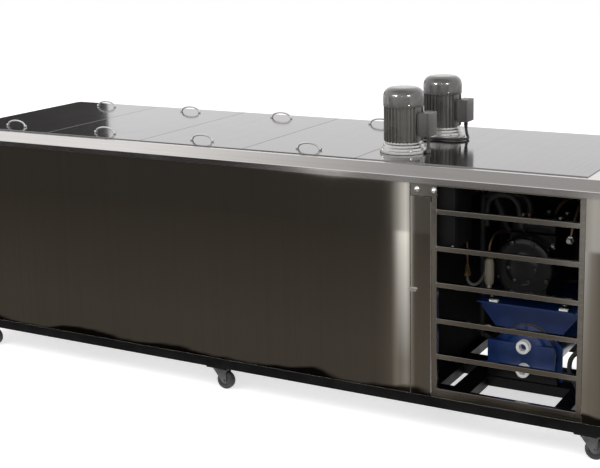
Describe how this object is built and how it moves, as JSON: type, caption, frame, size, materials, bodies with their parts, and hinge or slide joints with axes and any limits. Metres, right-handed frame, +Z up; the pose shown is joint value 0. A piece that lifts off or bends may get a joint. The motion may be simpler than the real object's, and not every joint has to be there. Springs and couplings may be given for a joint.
{
  "type": "bulk milk tank",
  "caption": "Long insulated stainless milk cooling tank with lift-off lids, stirring motors on the deck and a grilled bay for its cooling unit, on swivel castors.",
  "frame": {"origin": "middle of the footprint, on the surface that the castors stand on", "axes": "+X along the tank towards the machine bay, +Y from the front to the rear, +Z up"},
  "size_m": [3.06, 0.945, 1.2516],
  "materials": {
    "stainless": "fine satin stainless sheet",
    "polished_steel": "bright polished",
    "black_paint": "semi-gloss black paint",
    "blue_paint": "semi-gloss blue paint",
    "motor_grey": "gloss grey enamel",
    "white_plastic": "plain moulded",
    "black_rubber": "flexible cable sheath",
    "wheel_rubber": "solid grey-black tyre",
    "zinc": "zinc plated pressings",
    "pipe_insulation": "matt insulation sleeve on copper pipe",
    "foam": "foamed-in-place insulation"
  },
  "bodies": {
    "chassis": {"base_frame": "black_paint", "inner_tank": "stainless", "foam_insulation": "foam", "evaporator_plate": "stainless", "front_panel": "stainless", "rear_panel": "stainless", "left_end_panel": "stainless", "right_end_panel": "stainless", "floor_and_bulkhead": "stainless", "rim_frame": "stainless", "deck_plate": "stainless", "front_motor_housing": "motor_grey", "front_fan_cover": "motor_grey", "front_terminal_box": "motor_grey", "rear_motor_housing": "motor_grey", "rear_fan_cover": "motor_grey", "rear_terminal_box": "motor_grey", "rear_motor_cable": "black_rubber", "condenser_shell": "blue_paint", "condenser_end_cover": "blue_paint", "water_inlet": "white_plastic", "water_outlet": "white_plastic", "compressor_body": "black_paint", "compressor_head": "black_paint", "suction_pipe": "pipe_insulation", "discharge_pipe": "pipe_insulation", "bay_grille": "stainless", "control_box": "motor_grey", "drain_valve": "stainless"},
    "lid_1": {"lid_1": "stainless", "lid_1_front_handle": "polished_steel", "lid_1_rear_handle": "polished_steel"},
    "lid_2": {"lid_2": "stainless", "lid_2_front_handle": "polished_steel", "lid_2_rear_handle": "polished_steel"},
    "lid_3": {"lid_3": "stainless", "lid_3_front_handle": "polished_steel", "lid_3_rear_handle": "polished_steel"},
    "lid_4": {"lid_4": "stainless", "lid_4_front_handle": "polished_steel", "lid_4_rear_handle": "polished_steel"},
    "front_agitator": {"front_agitator_shaft": "stainless"},
    "rear_agitator": {"rear_agitator_shaft": "stainless"},
    "castor_left_front": {"castor_fork_left_front": "zinc"},
    "wheel_left_front": {"castor_wheel_left_front": "wheel_rubber"},
    "castor_left_rear": {"castor_fork_left_rear": "zinc"},
    "wheel_left_rear": {"castor_wheel_left_rear": "wheel_rubber"},
    "castor_middle_front": {"castor_fork_middle_front": "zinc"},
    "wheel_middle_front": {"castor_wheel_middle_front": "wheel_rubber"},
    "castor_middle_rear": {"castor_fork_middle_rear": "zinc"},
    "wheel_middle_rear": {"castor_wheel_middle_rear": "wheel_rubber"},
    "castor_right_front": {"castor_fork_right_front": "zinc"},
    "wheel_right_front": {"castor_wheel_right_front": "wheel_rubber"},
    "castor_right_rear": {"castor_fork_right_rear": "zinc"},
    "wheel_right_rear": {"castor_wheel_right_rear": "wheel_rubber"},
    "control_cover": {"control_cover": "stainless"},
    "panel_latch": {"panel_latch": "polished_steel"},
    "start_button": {"start_button": "polished_steel"},
    "stop_button": {"stop_button": "polished_steel"},
    "drain_lever": {"drain_lever": "blue_paint"}
  },
  "joints": [
    {"name": "lid_1_lift", "type": "slide", "parent": "chassis", "child": "lid_1", "axis": [0, 0, 1], "range_m": [0, 0.3]},
    {"name": "lid_2_lift", "type": "slide", "parent": "chassis", "child": "lid_2", "axis": [0, 0, 1], "range_m": [0, 0.3]},
    {"name": "lid_3_lift", "type": "slide", "parent": "chassis", "child": "lid_3", "axis": [0, 0, 1], "range_m": [0, 0.3]},
    {"name": "lid_4_lift", "type": "slide", "parent": "chassis", "child": "lid_4", "axis": [0, 0, 1], "range_m": [0, 0.3]},
    {"name": "front_agitator_spin", "type": "hinge", "parent": "chassis", "child": "front_agitator", "pos_m": [0.598, -0.2175, 1.0033], "axis": [0, 0, 1], "continuous": true},
    {"name": "rear_agitator_spin", "type": "hinge", "parent": "chassis", "child": "rear_agitator", "pos_m": [0.598, 0.1625, 1.0033], "axis": [0, 0, 1], "continuous": true},
    {"name": "castor_left_front_swivel", "type": "hinge", "parent": "chassis", "child": "castor_left_front", "pos_m": [-1.392, -0.4175, 0.094], "axis": [0, 0, 1], "continuous": true},
    {"name": "wheel_left_front_roll", "type": "hinge", "parent": "castor_left_front", "child": "wheel_left_front", "pos_m": [-1.364, -0.4175, 0.0375], "axis": [0, 1, 0], "continuous": true},
    {"name": "castor_left_rear_swivel", "type": "hinge", "parent": "chassis", "child": "castor_left_rear", "pos_m": [-1.392, 0.4175, 0.094], "axis": [0, 0, 1], "continuous": true},
    {"name": "wheel_left_rear_roll", "type": "hinge", "parent": "castor_left_rear", "child": "wheel_left_rear", "pos_m": [-1.364, 0.4175, 0.0375], "axis": [0, 1, 0], "continuous": true},
    {"name": "castor_middle_front_swivel", "type": "hinge", "parent": "chassis", "child": "castor_middle_front", "pos_m": [-0.138, -0.4175, 0.094], "axis": [0, 0, 1], "continuous": true},
    {"name": "wheel_middle_front_roll", "type": "hinge", "parent": "castor_middle_front", "child": "wheel_middle_front", "pos_m": [-0.11, -0.4175, 0.0375], "axis": [0, 1, 0], "continuous": true},
    {"name": "castor_middle_rear_swivel", "type": "hinge", "parent": "chassis", "child": "castor_middle_rear", "pos_m": [-0.138, 0.4175, 0.094], "axis": [0, 0, 1], "continuous": true},
    {"name": "wheel_middle_rear_roll", "type": "hinge", "parent": "castor_middle_rear", "child": "wheel_middle_rear", "pos_m": [-0.11, 0.4175, 0.0375], "axis": [0, 1, 0], "continuous": true},
    {"name": "castor_right_front_swivel", "type": "hinge", "parent": "chassis", "child": "castor_right_front", "pos_m": [1.392, -0.4175, 0.094], "axis": [0, 0, 1], "continuous": true},
    {"name": "wheel_right_front_roll", "type": "hinge", "parent": "castor_right_front", "child": "wheel_right_front", "pos_m": [1.42, -0.4175, 0.0375], "axis": [0, 1, 0], "continuous": true},
    {"name": "castor_right_rear_swivel", "type": "hinge", "parent": "chassis", "child": "castor_right_rear", "pos_m": [1.392, 0.4175, 0.094], "axis": [0, 0, 1], "continuous": true},
    {"name": "wheel_right_rear_roll", "type": "hinge", "parent": "castor_right_rear", "child": "wheel_right_rear", "pos_m": [1.42, 0.4175, 0.0375], "axis": [0, 1, 0], "continuous": true},
    {"name": "control_cover_hinge", "type": "hinge", "parent": "chassis", "child": "control_cover", "pos_m": [0.8153, -0.4635, 0.543], "axis": [0, 0, 1], "range_deg": [0, 100]},
    {"name": "panel_latch_turn", "type": "hinge", "parent": "control_cover", "child": "panel_latch", "pos_m": [0.7503, -0.4625, 0.543], "axis": [0, 1, 0], "range_deg": [0, 90]},
    {"name": "start_button_press", "type": "slide", "parent": "chassis", "child": "start_button", "axis": [0, 1, 0], "range_m": [0, 0.003], "stiffness_N_per_m": 400},
    {"name": "stop_button_press", "type": "slide", "parent": "chassis", "child": "stop_button", "axis": [0, 1, 0], "range_m": [0, 0.003], "stiffness_N_per_m": 400},
    {"name": "drain_lever_turn", "type": "hinge", "parent": "chassis", "child": "drain_lever", "pos_m": [-1.37, 0, 0.0517], "axis": [0, 0, 1], "range_deg": [0, 90]}
  ]
}
